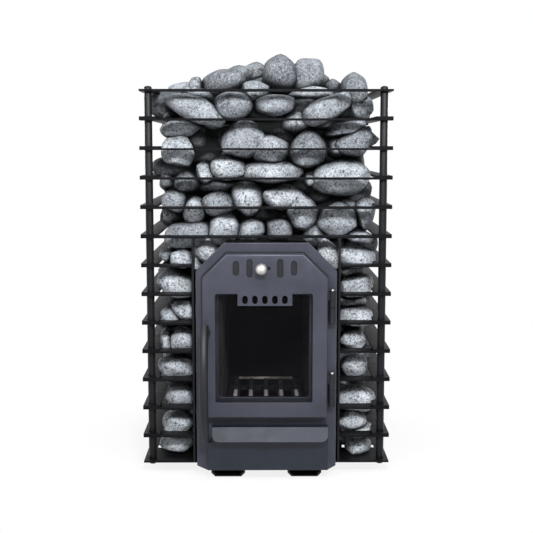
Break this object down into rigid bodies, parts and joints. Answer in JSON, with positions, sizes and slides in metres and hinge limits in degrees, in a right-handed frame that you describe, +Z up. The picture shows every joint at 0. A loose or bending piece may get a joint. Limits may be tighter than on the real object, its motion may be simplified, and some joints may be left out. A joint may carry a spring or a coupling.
{
  "type": "sauna stove",
  "caption": "Wood-fired sauna stove in a square cage of black flat bars filled with granite stones, with a glazed steel door, bowed bar handle and ash drawer",
  "frame": {"origin": "on the floor, under the middle of the overall box", "axes": "+Z up, -Y out of the door (the front), +X to the right when facing the door"},
  "size_m": [0.51, 0.621, 0.8712],
  "materials": {
    "cage_paint": "satin heat-resistant black",
    "door_paint": "satin charcoal grey",
    "box_steel": "matt black",
    "bare_steel": "bare turned steel",
    "cast_iron": "rough cast",
    "firebrick": "sooted brick",
    "glass": "clear heat-resistant glass, dark behind",
    "seal_fibre": "woven tape",
    "granite": "rough rounded granite"
  },
  "bodies": {
    "frame": {"cage_ring_01": "cage_paint", "cage_ring_02": "cage_paint", "cage_ring_03": "cage_paint", "cage_ring_04": "cage_paint", "cage_ring_05": "cage_paint", "cage_ring_06": "cage_paint", "cage_ring_07": "cage_paint", "cage_ring_08": "cage_paint", "cage_ring_09": "cage_paint", "cage_ring_10": "cage_paint", "cage_ring_11": "cage_paint", "cage_ring_12": "cage_paint", "top_ring": "cage_paint", "corner_post_front_left": "cage_paint", "corner_post_rear_left": "cage_paint", "corner_post_front_right": "cage_paint", "corner_post_rear_right": "cage_paint", "opening_strip_left": "cage_paint", "opening_strip_right": "cage_paint", "base_plate": "cage_paint", "stones_left": "granite", "stones_right": "granite", "stones_back": "granite", "stones_upper_front": "granite", "stones_upper_left": "granite", "stones_upper_right": "granite", "stones_upper_back": "granite", "foot_runner_left": "box_steel", "foot_runner_right": "box_steel", "firebox_wall_left": "box_steel", "firebox_wall_right": "box_steel", "firebox_wall_back": "box_steel", "firebox_crown": "box_steel", "flue_pipe": "box_steel", "firebox_floor": "box_steel", "baffle_plate": "box_steel", "firebrick_left": "firebrick", "firebrick_right": "firebrick", "firebrick_back": "firebrick", "grate": "cast_iron", "front_plate": "door_paint", "latch_keeper": "bare_steel", "hinge_frame_half_lower": "cage_paint", "hinge_frame_half_upper": "cage_paint", "hinge_pin_lower": "bare_steel", "hinge_pin_upper": "bare_steel"},
    "door": {"door_panel": "door_paint", "door_glass": "glass", "glass_seal": "seal_fibre", "glass_retainer": "box_steel", "hinge_door_half_lower": "cage_paint", "hinge_door_half_upper": "cage_paint"},
    "handle": {"handle_lever": "door_paint", "latch_tongue": "bare_steel", "tongue_nut": "bare_steel"},
    "air_control": {"air_slide": "door_paint", "air_knob": "bare_steel"},
    "ash_drawer": {"ash_drawer_front": "door_paint", "ash_tray": "box_steel"}
  },
  "joints": [
    {"name": "door_swing", "type": "hinge", "parent": "frame", "child": "door", "pos_m": [0.133, -0.2345, 0.3], "axis": [0, 0, 1], "range_deg": [0, 120]},
    {"name": "handle_turn", "type": "hinge", "parent": "door", "child": "handle", "pos_m": [-0.119, -0.2445, 0.31], "axis": [0, 1, 0], "range_deg": [0, 20]},
    {"name": "air_slide_move", "type": "slide", "parent": "door", "child": "air_control", "axis": [1, 0, 0], "range_m": [0, 0.015]},
    {"name": "ash_drawer_pull", "type": "slide", "parent": "frame", "child": "ash_drawer", "axis": [0, -1, 0], "range_m": [0, 0.3]}
  ]
}
